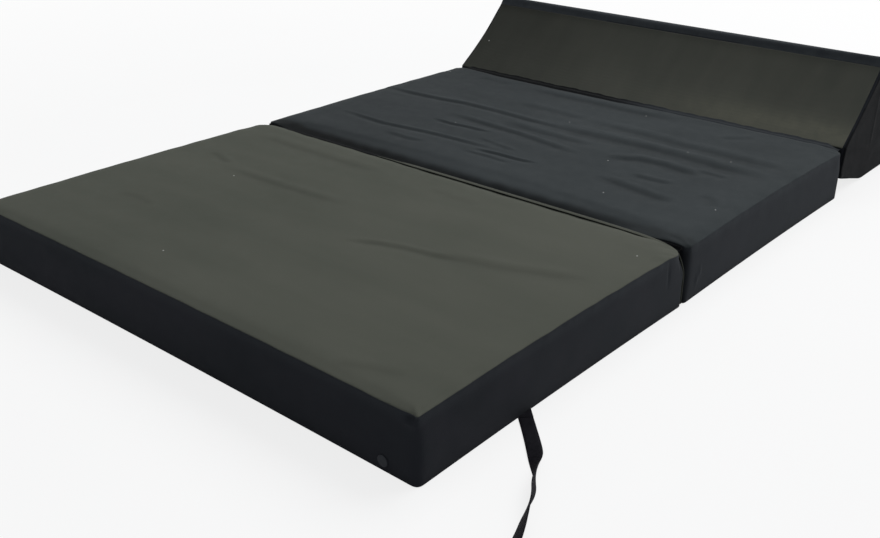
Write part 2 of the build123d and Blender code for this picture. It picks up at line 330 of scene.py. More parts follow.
def cloth(name, deep, pale, worn_and_lit, dust, gloss=0.1, streak_stretch=(0.35, 1.6, 1.6)):
    """Woven cover cloth: weave, soft mottling, long streaks, worn places and painted highlights, painted
    shade in the folds and joints, and lint.
    """
    deep, pale, worn_and_lit = grey(deep), grey(pale), grey(worn_and_lit)
    material, tree, shader = new_material(name, 0.88)
    place = object_place(tree)
    grain = noise(tree, place, 900, 1)
    mottle = noise(tree, place, 38, 3)
    cloud = times(tree, noise(tree, place, 3.2, 2), 0.45)
    streak = times(tree, noise(tree, place, 9, 3, streak_stretch), 0.4)
    tone = calculated(tree, "ADD", cloud, streak, times(tree, mottle, 0.15))
    colour = mixed(tree, ranged(tree, tone, 0.36, 0.64), deep, pale)
    colour = mixed(tree, times(tree, ranged(tree, grain, 0.45, 0.75), 0.2 * dust), colour, worn_and_lit)
    patchy = ranged(tree, mottle, 0.3, 0.7, 0.55, 1.0)
    # Paler where the cloth is worn and where highlights and lit faces are painted; darker where shade is
    # painted in folds, joints and on shaded sides
    colour = mixed(tree, times(tree, attribute_value(tree, "wear"), patchy), colour, worn_and_lit)
    colour = mixed(tree, attribute_value(tree, "shade"), colour, tuple(painted_shade_darkness * part for part in deep))
    colour = mixed(tree, lint(tree, place, dust), colour, lint_colour)
    feed(shader, {
        "Base Color": colour,
        "Roughness": ranged(tree, mottle, 0.3, 0.7, 0.82, 0.95),
        "Sheen Weight": 0.03,
        "Sheen Roughness": 0.5,
        "Specular IOR Level": gloss,
    })
    threads = times(tree, weave(tree, place, weave_pitch), 0.5)
    height = calculated(tree, "ADD", threads, times(tree, grain, 0.6))
    bumped(tree, shader, height, 0.35, 0.0004)
    return material


def webbing(name, deep, pale):
    """Flat woven webbing with ribs across its length."""
    material, tree, shader = new_material(name, 0.62)
    place = object_place(tree)
    mottle = noise(tree, place, 120, 2)
    feed(shader, {
        "Base Color": mixed(tree, ranged(tree, mottle, 0.3, 0.7), grey(deep), grey(pale)),
        "Roughness": ranged(tree, mottle, 0.3, 0.7, 0.65, 0.8),
        "Specular IOR Level": 0.05,
    })
    bumped(tree, shader, weave(tree, place, webbing_pitch), 0.5, 0.0003)
    return material


def solid_finish(name, deep, pale, roughness, metal, scale):
    """Painted metal or moulded plastic, with fine marks and uneven gloss."""
    material, tree, shader = new_material(name, roughness)
    mottle = noise(tree, object_place(tree), scale, 4)
    feed(shader, {
        "Base Color": mixed(tree, ranged(tree, mottle, 0.35, 0.65), grey(deep), grey(pale)),
        "Metallic": metal,
        "Specular IOR Level": 0.5 if metal else 0.15,
        "Roughness": ranged(tree, mottle, 0.3, 0.7, roughness - 0.1, roughness + 0.12),
    })
    bumped(tree, shader, mottle, 0.15, 0.0002)
    return material


olive = cloth("olive_cloth", (73, 76, 68), (81, 83, 75), (96, 97, 88), 0.3)
charcoal = cloth("charcoal_cloth", (44, 49, 51), (53, 58, 60), (72, 77, 79), 0.5)
dark_olive = cloth(
    "dark_olive_cloth", (69, 71, 65), (80, 81, 74), (102, 102, 90), 0.2, streak_stretch=(1.6, 0.5, 0.5)
)
black = cloth("black_cloth", (31, 34, 38), (39, 40, 45), (58, 62, 65), 0, gloss=0.05)
strap_cloth = webbing("strap_webbing", (17, 17, 21), (28, 27, 32))
tape_cloth = webbing("zip_tape", (26, 27, 30), (36, 37, 40))
coil_plastic = solid_finish("coil_plastic", (34, 35, 38), (48, 49, 52), 0.45, 0, 400)
slider_metal = solid_finish("slider_metal", (96, 97, 100), (128, 128, 130), 0.38, 1, 300)
stud_metal = solid_finish("stud_metal", (28, 31, 36), (38, 41, 46), 0.6, 0, 500)
thread = solid_finish("thread", (38, 39, 40), (52, 52, 52), 0.8, 0, 900)


# Mesh helpers


def linked(name, points, faces, materials, marks=None):
    """A smooth mesh piece from points and faces, with a material for each face's mark."""
    mesh = bpy.data.meshes.new(name)
    mesh.from_pydata([tuple(map(float, point)) for point in points], [], faces)
    for material in materials:
        mesh.materials.append(material)
    if marks is not None:
        mesh.polygons.foreach_set("material_index", np.asarray(marks, np.int32))
    mesh.polygons.foreach_set("use_smooth", np.ones(len(mesh.polygons), bool))
    mesh.update()
    piece = bpy.data.objects.new(name, mesh)
    bpy.context.scene.collection.objects.link(piece)
    return piece


def unit(rows):
    """The rows of an array, each at length 1."""
    return rows / np.linalg.norm(rows, axis=1)[:, None]


def bell(away, width):
    """1 at no distance, falling smoothly to almost 0 at twice the width."""
    return np.exp(-((away / width) ** 2))


def lofted(name, loops, material, joined=False):
    """A closed piece through loops of points, capped at both ends or joined end to end."""
    count = len(loops[0])
    total = len(loops) * count
    faces = []
    for i in range(len(loops) if joined else len(loops) - 1):
        here, there = i * count, (i + 1) * count % total
        for k in range(count):
            after = (k + 1) % count
            faces.append([here + k, here + after, there + after, there + k])
    if not joined:
        faces.append(list(range(count))[::-1])
        faces.append(list(range(total - count, total)))
    piece = linked(name, np.concatenate(loops), faces, [material])
    shell = bmesh.new()
    shell.from_mesh(piece.data)
    bmesh.ops.recalc_face_normals(shell, faces=shell.faces)
    shell.to_mesh(piece.data)
    shell.free()
    return piece


def smooth_line(controls, steps):
    """Points along the smooth curve that control points give, with so many steps for each of them."""
    curve = bpy.data.curves.new("line", "CURVE")
    curve.dimensions = "3D"
    spline = curve.splines.new("NURBS")
    spline.points.add(len(controls) - 1)
    for point, place in zip(spline.points, controls):
        point.co = (*place, 1)
    spline.order_u = 3
    spline.use_endpoint_u = True
    spline.resolution_u = steps
    line = bpy.data.objects.new("line", curve)
    bpy.context.scene.collection.objects.link(line)
    mesh = bpy.data.meshes.new_from_object(line.evaluated_get(bpy.context.evaluated_depsgraph_get()))
    path = points_of(mesh)
    bpy.data.objects.remove(line)
    return path


def travelled(path):
    """How far along its line each point of a path lies."""
    return np.concatenate([[0], np.cumsum(np.linalg.norm(np.diff(path, axis=0), axis=1))])


def directions(path):
    """The unit direction of a path at each of its points."""
    return unit(np.gradient(path, axis=0))


def flat_tube(name, path, ups, half_across, half_up, material, joined=False):
    """A flattened tube along a path. Ups point to its flat side. Each point has its half sizes."""
    ways = unit(np.roll(path, -1, 0) - np.roll(path, 1, 0)) if joined else directions(path)
    sides = unit(np.cross(ways, ups))
    tops = np.cross(sides, ways)
    turns = np.linspace(0, 2 * math.pi, 12, endpoint=False)
    loops = []
    for here, side, top, across, up in zip(path, sides, tops, half_across, half_up):
        loops.append(np.array([here + side * across * math.cos(t) + top * up * math.sin(t) for t in turns]))
    return lofted(name, loops, material, joined)


def repeated(name, size, frames, material):
    """One small rounded bar at each frame: its place, and the directions of its length, width and height."""
    length, width, height = size
    rings = [(-0.5, 0.45), (-0.38, 1.0), (0.38, 1.0), (0.5, 0.45)]
    turns = np.linspace(0, 2 * math.pi, 6, endpoint=False)
    bar = [
        (share * length, swell * width / 2 * math.cos(t), swell * height / 2 * math.sin(t))
        for share, swell in rings
        for t in turns
    ]
    bar_faces = [
        [ring * 6 + k, ring * 6 + (k + 1) % 6, ring * 6 + 6 + (k + 1) % 6, ring * 6 + 6 + k]
        for ring in range(3)
        for k in range(6)
    ]
    bar_faces += [[5, 4, 3, 2, 1, 0], [18, 19, 20, 21, 22, 23]]
    points = []
    faces = []
    for place, along, across, up in frames:
        first = len(points)
        points += [place + a * along + b * across + c * up for a, b, c in bar]
        faces += [[first + k for k in face] for face in bar_faces]
    return linked(name, points, faces, [material])


def stitch_row(path, ups, lift=0.0, pitch=0.0048):
    """Frames for a row of stitches along a path, lifted off it a little."""
    gone = travelled(path)
    ways = directions(path)
    frames = []
    for place in np.arange(pitch / 2, gone[-1], pitch):
        here = np.array([np.interp(place, gone, path[:, axis]) for axis in range(3)])
        way = np.array([np.interp(place, gone, ways[:, axis]) for axis in range(3)])
        up = np.array([np.interp(place, gone, ups[:, axis]) for axis in range(3)])
        way /= np.linalg.norm(way)
        up -= way * (up @ way)
        up /= np.linalg.norm(up)
        frames.append((here + up * lift, way, np.cross(up, way), up))
    return frames


def read_rows(rows, field):
    """One vector for each row of a mesh's collection, as an array."""
    found = np.zeros(len(rows) * 3, np.float32)
    rows.foreach_get(field, found)
    return found.reshape(-1, 3).astype(float)


def points_of(mesh):
    """A mesh's points as an array."""
    return read_rows(mesh.vertices, "co")


def normals_of(mesh):
    """A mesh's point normals as an array."""
    return read_rows(mesh.vertex_normals, "vector")


def set_points(mesh, points):
    """Moves a mesh's points."""
    mesh.vertices.foreach_set("co", np.asarray(points, np.float32).ravel())
    mesh.update()


def refined(piece):
    """Subdivides a piece once, smoothly, and keeps its materials."""
    modifier = piece.modifiers.new("refine", "SUBSURF")
    modifier.levels = 1
    modifier.render_levels = 1
    made = bpy.data.meshes.new_from_object(piece.evaluated_get(bpy.context.evaluated_depsgraph_get()))
    piece.modifiers.clear()
    piece.data = made
    return piece


def set_values(piece, **fields):
    """Stores values from 0 to 1 at the points of a piece, for its material. A single one goes to all."""
    for name, values in fields.items():
        attribute = piece.data.attributes.new(name, "FLOAT", "POINT")
        held = np.broadcast_to(np.clip(values, 0, 1), len(attribute.data))
        attribute.data.foreach_set("value", held.astype(np.float32))


def simulated(piece, held, caps, pressure=4.0, frames=20):
    """Swells a piece as cloth under gentle pressure. Each point moves at most its cap, and held ones stay."""
    start = points_of(piece.data)
    group = piece.vertex_groups.new(name="held")
    group.add([int(i) for i in np.nonzero(held)[0]], 1.0, "REPLACE")
    modifier = piece.modifiers.new("cloth", "CLOTH")
    for setting, value in cover_cloth.items():
        setattr(modifier.settings, setting, value)
    modifier.settings.use_pressure = True
    modifier.settings.uniform_pressure_force = pressure
    modifier.settings.vertex_group_mass = "held"
    modifier.settings.effector_weights.gravity = 0
    modifier.point_cache.frame_start = 1
    modifier.point_cache.frame_end = frames
    scene = bpy.context.scene
    for step in range(1, frames + 1):
        scene.frame_set(step)
    swollen = points_of(piece.evaluated_get(bpy.context.evaluated_depsgraph_get()).data)
    piece.modifiers.clear()
    piece.vertex_groups.clear()
    scene.frame_set(1)
    shift = swollen - start
    length = np.linalg.norm(shift, axis=1)
    allowed = caps * np.tanh(length / np.maximum(caps, 1e-6))
    share = np.where(length > 1e-9, allowed / np.maximum(length, 1e-9), 0)
    set_points(piece.data, start + shift * share[:, None])


def spaced(low, high, edge, edge_steps, middle_steps):
    """Stations from low to high, closer together near both ends."""
    near = np.linspace(low, low + edge, edge_steps + 1)
    middle = np.linspace(low + edge, high - edge, middle_steps + 1)
    far = np.linspace(high - edge, high, edge_steps + 1)
    return np.concatenate([near[:-1], middle, far[1:]])


def box_grid(xs, ys, zs):
    """The points and faces of a closed box with a grid on each side."""
    numbers = {}
    points = []
    faces = []

    def point(i, j, k):
        key = (i, j, k)
        if key not in numbers:
            numbers[key] = len(points)
            points.append((xs[i], ys[j], zs[k]))
        return numbers[key]

    last_x, last_y, last_z = len(xs) - 1, len(ys) - 1, len(zs) - 1
    for i in range(last_x):
        for j in range(last_y):
            for k, order in ((last_z, 1), (0, -1)):
                ring = [point(i, j, k), point(i + 1, j, k), point(i + 1, j + 1, k), point(i, j + 1, k)]
                faces.append(ring[::order])
    for k in range(last_z):
        for i in range(last_x):
            for j, order in ((0, 1), (last_y, -1)):
                ring = [point(i, j, k), point(i + 1, j, k), point(i + 1, j, k + 1), point(i, j, k + 1)]
                faces.append(ring[::order])
        for j in range(last_y):
            for i, order in ((last_x, 1), (0, -1)):
                ring = [point(i, j, k), point(i, j + 1, k), point(i, j + 1, k + 1), point(i, j, k + 1)]
                faces.append(ring[::order])
    return np.array(points), faces


def rounded_pair(first, second):
    """Two distances into a square corner, carried onto a round one."""
    largest = np.maximum(first, second)
    reach = np.maximum(np.hypot(first, second), 1e-12)
    scale = np.where((first > 0) & (second > 0), largest / reach, 1)
    return first * scale, second * scale


def seam_station(height):
    """The height on the square-edged box that the rounding carries to a seam near the top."""
    over = height - shoulder_height
    return shoulder_height + edge_radius * over / math.sqrt(edge_radius**2 - over**2)


def eased(share):
    """A share held between 0 and 1, with a soft start and end."""
    share = np.clip(share, 0, 1)
    return share * share * (3 - 2 * share)


def waves(along, lengths):
    """A gentle uneven wave between about -1 and 1, from a few wavelengths."""
    total = sum(np.sin(2 * math.pi * along / length + 2.3 * number) for number, length in enumerate(lengths))
    return total / len(lengths)


def corner_radius(name, y_side, height):
    """Plan radius of a block's corners: each end has its own at the top, easing to the one at the base."""
    share = eased((height / block_height - 0.55) / 0.4)
    (low_top, low_base), (high_top, high_base) = corner_rounds[name]
    top = np.where(y_side < 0, low_top, high_top)
    base = np.where(y_side < 0, low_base, high_base)
    return base + (top - base) * share


def top_sag(name, x, y, half_x):
    """How far a block's top sags at each place: along its two joint edges and at its soft corners."""
    sag = np.zeros(len(x))
    for edge_y, (fall, width, shares) in zip(blocks[name], edge_falls[name]):
        kept = eased(np.interp(x, *zip(*shares)))
        sag += fall * kept * bell(y - edge_y, width)
    for (x_side, end), fall in corner_sags[name].items():
        away = np.hypot(x - x_side * half_x, y - blocks[name][end])
        sag += fall * bell(away, corner_sag_reach)
    side_fall, side_width = side_falls[name]
    return sag + side_fall * bell(half_x - np.abs(x), side_width)


def rounded_block(name, points, centre_y, half_x, half_y):
    """Carries points of a square-edged box onto a block: rounded edges, drawn-in sides, crowned top."""
    x, y, z = points[:, 0].copy(), points[:, 1] - centre_y, points[:, 2].copy()
    inner_x, inner_y = half_x - edge_radius, half_y - edge_radius
    out_x = np.maximum(np.abs(x) - inner_x, 0)
    out_y = np.maximum(np.abs(y) - inner_y, 0)
    out = np.maximum(out_x, out_y)
    over = np.maximum(z - shoulder_height, 0)
    under = np.maximum(base_radius - z, 0)
    rise = np.where(under > 0, under * edge_radius / base_radius, over)
    new_out, new_rise = rounded_pair(out, rise)
    new_rise = np.where(under > 0, new_rise * base_radius / edge_radius, new_rise)
    new_out = np.where(under > 0, out - (out - new_out) * base_radius / edge_radius, new_out)
    scale = np.where(out > 0, new_out / np.maximum(out, 1e-12), 1)
    x = np.sign(x) * (np.minimum(np.abs(x), inner_x) + out_x * scale)
    y = np.sign(y) * (np.minimum(np.abs(y), inner_y) + out_y * scale)
    z = np.where(under > 0, base_radius - new_rise, z)
    z = np.where(over > 0, shoulder_height + new_rise, z)
    radius = corner_radius(name, y, z)
    core_x, core_y = half_x - radius, half_y - radius
    out_x, out_y = rounded_pair(np.maximum(np.abs(x) - core_x, 0), np.maximum(np.abs(y) - core_y, 0))
    x = np.sign(x) * (np.minimum(np.abs(x), core_x) + out_x)
    y = np.sign(y) * (np.minimum(np.abs(y), core_y) + out_y)
    share_x, share_y = x / half_x, y / half_y
    x = x - share_x * side_draw * (1 - share_y**2)
    y = y - share_y * side_draw * (1 - share_x**2)
    high = (z / block_height) ** 3
    z = z + crown_rise * (1 - share_y**2) * (z / block_height) ** 2
    z = z - top_sag(name, x, y + centre_y, half_x) * high
    x = x - np.sign(x) * side_waver * (1 + waves(y, (0.23, 0.117, 0.071))) * high * np.abs(share_x) ** 8
    z = z + top_waver * waves(x + y, (0.19, 0.103, 0.067)) * high
    return np.stack([x, y + centre_y, z], 1)


def pressed(points, places):
    """Pushes the points near each place, given as its centre, its reach along X, Y and Z, and the push."""
    for place, reach, push in places:
        share = np.exp(-(((points - np.array(place)) / np.array(reach)) ** 2).sum(1))
        points = points + share[:, None] * np.array(push)
    return points


def course_distance(x, y, course):
    """Distance of each place from a course of straight runs, how far along it from 0 to 1, and its side."""
    best = np.full(len(x), 1e9)
    along = np.zeros(len(x))
    side = np.zeros(len(x))
    runs = [math.dist(a, b) for a, b in zip(course, course[1:])]
    whole = sum(runs)
    gone = 0.0
    for (ax, ay), (bx, by), run in zip(course, course[1:], runs):
        t = np.clip(((x - ax) * (bx - ax) + (y - ay) * (by - ay)) / run**2, 0, 1)
        away = np.hypot(x - ax - t * (bx - ax), y - ay - t * (by - ay))
        closer = away < best
        best = np.where(closer, away, best)
        along = np.where(closer, (gone + t * run) / whole, along)
        left = ((bx - ax) * (y - ay) - (by - ay) * (x - ax)) * math.copysign(1, bx - ax)
        side = np.where(closer, np.sign(left), side)
        gone += run
    return best, along, side


def crease_depth(x, y, creases):
    """How far creases pull the cloth in: a valley, steep on its far side, then a soft swelling."""
    depth = np.zeros(len(x))
    for course, deep, width in creases:
        away, along, side = course_distance(x, y, course)
        ends = eased(along / 0.25) * eased((1 - along) / 0.25)
        valley = bell(away, np.where(side > 0, width, crease_lean * width))
        swelling = bell(away - 2.0 * width, width) * (side > 0)
        depth += deep * ends * (valley - 0.35 * swelling)
    return depth


def cloth_panel(cushion, mark, name, material):
    """A panel of cloth over a cushion's faces of one mark: lifted a little, its rim tucked in at the seam."""
    mesh = cushion.data
    chosen = [list(face.vertices) for face in mesh.polygons if face.material_index == mark]
    used = sorted({i for face in chosen for i in face})
    number = {old: new for new, old in enumerate(used)}
    faces = [[number[i] for i in face] for face in chosen]
    points = points_of(mesh)[used]
    normals = normals_of(mesh)[used]
    edges = {}
    for face in faces:
        for a, b in zip(face, face[1:] + face[:1]):
            key = (min(a, b), max(a, b))
            edges.setdefault(key, []).append((a, b))
    rim_edges = [ways[0] for ways in edges.values() if len(ways) == 1]
    rim = np.zeros(len(points), bool)
    for a, b in rim_edges:
        rim[a] = rim[b] = True
    outer = points + normals * np.where(rim, -panel_tuck / 4, panel_lift)[:, None]
    inner = points - normals * panel_tuck
    count = len(points)
    shell = list(faces)
    shell += [[i + count for i in face[::-1]] for face in faces]
    shell += [[b, a, a + count, b + count] for a, b in rim_edges]
    piece = linked(name, np.concatenate([outer, inner]), shell, [material])
    return piece, np.concatenate([points, points])


def stand_for(piece, body, nodes):
    """Ties a piece to its body and the nodes that it stands for."""
    if nodes:
        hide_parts(*nodes)
    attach(piece, body)


def in_metres(creases):
    """Creases given in millimetres, carried to metres."""
    return [
        ([(x / 1000, y / 1000) for x, y in course], deep / 1000, width / 1000)
        for course, deep, width in creases
    ]


# Creases on the block tops, in millimetres: a course of (X, Y) from the middle of the block's edge nearer
# the foot, then the depth and half width. On its near side a crease is wider by the lean.
crease_lean = 2.2
front_creases = in_metres([
    ([(85, 350), (150, 385), (200, 402), (260, 414), (330, 434)], 2, 7),
    ([(240, 410), (350, 440), (400, 455), (450, 475), (500, 495), (560, 520)], 2.2, 13),
    ([(-400, 472), (-300, 468), (-200, 472), (-120, 478), (-20, 480)], 1.8, 10),
    ([(-500, 520), (-450, 503), (-400, 490)], 1.6, 7),
    ([(-540, 666), (-400, 668), (-250, 668), (-80, 672)], 2, 13),
    ([(30, 668), (110, 662), (190, 664)], 1.2, 13),
    ([(-440, 220), (-380, 228), (-310, 222)], 1, 9),
    ([(400, 20), (470, 48), (530, 66)], 1.2, 10),
    ([(-200, 756), (150, 756), (540, 756)], 0.7, 1.6),
])
middle_creases = in_metres([
    ([(-640, 430), (-500, 431), (-400, 438), (-320, 451), (-200, 450), (-100, 443), (60, 442)], 3.4, 7.5),
    ([(-90, 440), (100, 446), (250, 453), (350, 448), (450, 438), (590, 426)], 5.2, 16),
    ([(-300, 290), (-230, 285), (-180, 292), (-100, 294)], 2.6, 5),
    ([(-300, 352), (-200, 342), (-120, 336), (-50, 332), (20, 320), (90, 306), (170, 292)], 3.4, 9),
    ([(-150, 390), (-50, 378), (60, 376), (150, 371)], 3.2, 12),
    ([(-20, 531), (100, 535), (200, 532), (290, 523), (380, 524), (480, 519), (590, 512)], 3.8, 15),
    ([(-230, 548), (-100, 547), (20, 539)], 2.2, 13),
    ([(200, 309), (235, 341), (275, 364), (330, 369), (385, 359), (445, 349)], 4.4, 12),
    ([(250, 205), (320, 192), (370, 183), (430, 173), (480, 164)], 3.6, 11),
    ([(305, 263), (360, 261), (415, 267)], 2.6, 8),
    ([(-310, 686), (-180, 686), (-80, 690), (20, 688), (120, 690), (230, 696)], 3.6, 14),
    ([(400, 380), (440, 382), (490, 380)], 1.8, 8),
    ([(-550, 186), (-440, 178), (-360, 173), (-300, 181), (-220, 191), (-130, 195), (10, 196)], 2.8, 6),
    ([(-70, 170), (0, 176), (60, 176), (120, 183)], 3, 4.5),
    ([(-310, 126), (-240, 122), (-180, 129)], 2, 7),
    ([(-80, 144), (0, 146), (70, 140)], 1.6, 5),
    ([(-110, 242), (-40, 228), (30, 216)], 1.4, 6),
    ([(335, 630), (365, 655), (410, 700)], 1.8, 9),
    ([(-470, 690), (-400, 690), (-330, 684)], 1.4, 12),
    ([(490, 255), (520, 235), (550, 200)], 1.4, 9),
])

# Plan radius of a block's corners at its lower and higher Y, each at the top and at the base
corner_rounds = {"front": ((0.004, 0.012), (0.042, 0.008)), "middle": ((0.01, 0.01), (0.026, 0.012))}
# How far the top falls along the edge at lower Y and at higher Y, over what width, and the share of the
# fall that is left at places along X
edge_falls = {
    "front": ((0.0004, 0.012, ((0.5, 1), (0.6, 0))), (0.001, 0.012, ((0.5, 1), (0.6, 0)))),
    "middle": (
        (0.02, 0.026, ((-0.6, 0), (-0.42, 1), (0.36, 1), (0.57, 0))),
        (0.004, 0.018, ((-0.54, 0.3), (-0.38, 1), (-0.1, 1), (0.14, 0))),
    ),
}
# How far the top falls towards its left and right edges, and over what width
side_falls = {"front": (0.0006, 0.014), "middle": (0.0022, 0.018)}
# How far the corners sag, at (side, end)
corner_sags = {"front": {(1, 1): 0.0065, (-1, 1): 0.0015}, "middle": {(1, 0): 0.001, (1, 1): 0.004}}
corner_sag_reach = 0.044
# Tucks and pinches in the cushions, as (centre, reach, push)
pinches = {
    "front": [
        ((0.584, -1.000, 0.116), (0.012, 0.02, 0.0048), (0, 0.0065, -0.001)),
        ((0.583, -1.000, 0.106), (0.013, 0.02, 0.0042), (0, -0.0016, 0)),
        ((0.598, -0.296, 0.09), (0.02, 0.0034, 0.022), (-0.0022, 0, 0)),
        ((0.598, -0.249, 0.1), (0.02, 0.0036, 0.014), (-0.0026, 0, 0)),
    ],
    "middle": [
        ((0.594, -0.221, 0.121), (0.008, 0.008, 0.01), (-0.002, 0.004, -0.003)),
        ((0.598, -0.18, 0.04), (0.02, 0.006, 0.012), (0.0016, 0, 0)),
        ((0.598, -0.17, 0.054), (0.02, 0.006, 0.012), (0.0014, 0, 0)),
    ],
}

block_zip_half = (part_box("front_zip_tapes")[1].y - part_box("front_zip_tapes")[0].y) / 2
zip_half_width = (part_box("front_zip_tapes")[1].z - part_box("front_zip_tapes")[0].z) / 2
zip_height = (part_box("front_zip_tapes")[1].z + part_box("front_zip_tapes")[0].z) / 2

top_mark = 1
# Strength of the painted shade in the creases
fold_shade = 0.36


def left_share(x):
    """1 on the left, where the headrest's joint is deep and dark, fading to 0 where it is flush."""
    return 1 - eased((x + 0.12) / 0.26)


def block_holds(square, points, centre_y, half_x):
    """Which points of a block the simulation holds, and how far it may move the others."""
    seam = seam_station(top_seam)
    held = (points[:, 0] < -half_x * 0.98) & (np.abs(points[:, 1] - centre_y) < block_zip_half + 0.02)
    held &= np.abs(points[:, 2] - zip_height) < zip_half_width + 0.012
    held |= (np.abs(square[:, 2] - seam) < 1e-6) | (square[:, 2] <= base_seam + 1e-6)
    caps = np.where(square[:, 2] > seam - 1e-6, top_swell, side_swell)
    for joint_y in (fold_y, raise_y):
        caps[np.abs(points[:, 1] - joint_y) < joint_reach] = joint_swell
    return held, caps


def block_panel_values(name, panel, under, creases):
    """Wear and painted light of a block's top panel: a worn and highlighted rim, a paler right end, and
    painted shade in its creases, at the joints and on the left.
    """
    low_y, high_y = blocks[name]
    x, y = under[:, 0], under[:, 1]
    gap = np.minimum(half_width - np.abs(x), np.minimum(y - low_y, high_y - y))
    # The front block's top paler towards the right
    paler_to_right = 0.2 * eased((x + 0.2) / 0.8) * (name == "front")
    # A worn rim, with a painted highlight along the edges
    rim = bell(gap - 0.004, 0.004)
    # Painted shadow along the fold joint, and along the headrest's joint where it is deep on the left
    into = y - fold_y + 0.003 * waves(x, (0.17, 0.093, 0.057))
    near_joint = 0.22 * (1 - eased(into / 0.075)) + 0.78 * (1 - eased((into - 0.028) / 0.021))
    near_joint *= eased((x + 0.66) / 0.16) * (1 - 0.6 * eased((x - 0.25) / 0.33))
    back = raise_y - y + 0.004 * waves(x, (0.19, 0.083))
    far_joint = (1 - eased((back - 0.01) / 0.022)) * left_share(x) * eased((x + 0.66) / 0.2)
    # Painted shade towards the left of the middle block
    dim_left = 0.24 * (1 - eased((x + 0.6) / 0.8))
    by_joint = (0.95 * near_joint + 0.6 * far_joint + dim_left) * (name == "middle")
    # Painted shade in the creases
    folds = fold_shade * crease_depth(x, y - low_y, creases) / 0.006
    set_values(panel, wear=0.08 * rim + paler_to_right, shade=folds + by_joint)


def block_cushion(name, creases, rows, top_cloth):
    """One mattress block: a crowned closed cushion in black cloth, and the panel of cloth on its top."""
    low_y, high_y = blocks[name]
    centre_y = (low_y + high_y) / 2
    half_x = half_width - skin_inset
    half_y = (high_y - low_y) / 2 - skin_inset
    seam = seam_station(top_seam)
    xs = spaced(-half_x, half_x, fine_reach, 5, across_steps)
    ys = spaced(centre_y - half_y, centre_y + half_y, fine_reach, 6, rows)
    zs = np.concatenate([
        [0, base_radius / 2, base_radius],
        np.linspace(base_seam, shoulder_height, 16),
        [(shoulder_height + seam) / 2, seam, block_height],
    ])
    square, faces = box_grid(xs, ys, zs)
    points = rounded_block(name, square, centre_y, half_x, half_y)
    points[:, 2] -= skin_inset * np.clip(points[:, 2] / block_height, 0, 1)
    centres = np.array([square[face].mean(0)[2] for face in faces])
    marks = np.where(centres > seam, top_mark, 0)
    cushion = linked(f"{name}_cushion", points, faces, [black, black], marks)
    simulated(cushion, *block_holds(square, points, centre_y, half_x))
    refined(cushion)

    mesh = cushion.data
    points, normals = points_of(mesh), normals_of(mesh)
    x, y, z = points.T
    top = eased((normals[:, 2] - 0.3) / 0.5) * (z > block_height / 2)
    room = top_rest - top_knee
    z = np.where(z > top_knee, top_knee + room * np.tanh((z - top_knee) / room), z)
    z = z - top * crease_depth(x, y - low_y, creases)
    points[:, 2] = np.minimum(z, top_limit - panel_lift)
    puckers = waves(x, (0.031, 0.047)) + waves(y, (0.027, 0.043))
    by_seam = bell(z - top_seam, 0.008) * (1 - top)
    points -= normals * (pucker * puckers * by_seam)[:, None]
    points = pressed(points, pinches[name])
    set_points(mesh, points)
    panel, under = cloth_panel(cushion, top_mark, f"{name}_top_cloth", top_cloth)
    block_panel_values(name, panel, under, creases)
    x, y, z = points.T
    # Painted light on the sides towards the far end, and a painted highlight band just under the top seam
    painted_light_far_side = eased((y + 1.0) / 1.4) * (np.abs(x) > half_x * 0.98)
    wear = 0.3 * bell(z - top_seam + 0.006, 0.01) + 0.5 * painted_light_far_side
    # Painted shade in the joints and along the foot of the cushion
    in_joint = bell(y - fold_y, joint_shade_width) + bell(y - raise_y, joint_shade_width)
    set_values(cushion, wear=wear, shade=0.7 * in_joint + 0.25 * bell(z, 0.012))
    stand_for(cushion, name, [f"{name}_foam_core", f"{name}_border", f"{name}_base_panel"])
    stand_for(panel, name, [f"{name}_top_panel"])


# Headrest


def arc_outline(corners, radii, step):
    """Points along a closed outline with rounded corners, about a step apart."""
    points = []
    count = len(corners)
    for i in range(count):
        corner = np.array(corners[i], float)
        before = np.array(corners[i - 1], float) - corner
        after = np.array(corners[(i + 1) % count], float) - corner
        way_in, way_out = before / np.linalg.norm(before), after / np.linalg.norm(after)
        half = math.acos(float(way_in @ way_out)) / 2
        cut = radii[i] / math.tan(half)
        middle = (way_in + way_out) / np.linalg.norm(way_in + way_out)
        centre = corner + middle * radii[i] / math.sin(half)
        start, end = corner + way_in * cut - centre, corner + way_out * cut - centre
        turn = math.pi - 2 * half
        steps = max(3, round(turn * radii[i] / step))
        for k in range(steps + 1):
            t = k / steps
            swung = start * math.sin((1 - t) * turn) + end * math.sin(t * turn)
            points.append(centre + swung / math.sin(turn))
    outline = []
    for here, there in zip(points, points[1:] + points[:1]):
        steps = max(1, round(float(np.linalg.norm(there - here)) / step))
        outline += [here + (there - here) * k / steps for k in range(steps)]
    return np.array(outline)


def outline_normals(outline):
    """The outward direction at each point of an outline that runs clockwise."""
    along = unit(np.roll(outline, -1, 0) - np.roll(outline, 1, 0))
    return np.stack([-along[:, 1], along[:, 0]], 1)


def headrest_corners():
    """The corners of the headrest's section, as (Y, Z)."""
    top_run = face_top[0] + band[0]
    top_rise = face_top[1] + band[1]
    return [
        (headrest_y, block_height),
        (headrest_y + face_bend[0], block_height + face_bend[1]),
        (headrest_y + face_top[0], block_height + face_top[1]),
        (headrest_y + top_run, block_height + top_rise),
        (headrest_y + top_run + crest[0], block_height + top_rise + crest[1]),
        (rear_y, rear_height),
        (rear_y, 0),
        (headrest_y + base_setback, 0),
        (headrest_y, block_height - joint_face_height),
    ]


def nearest(outline, place):
    """The number of the outline's point nearest to a place."""
    return int(np.argmin(np.linalg.norm(outline - np.array(place), axis=1)))


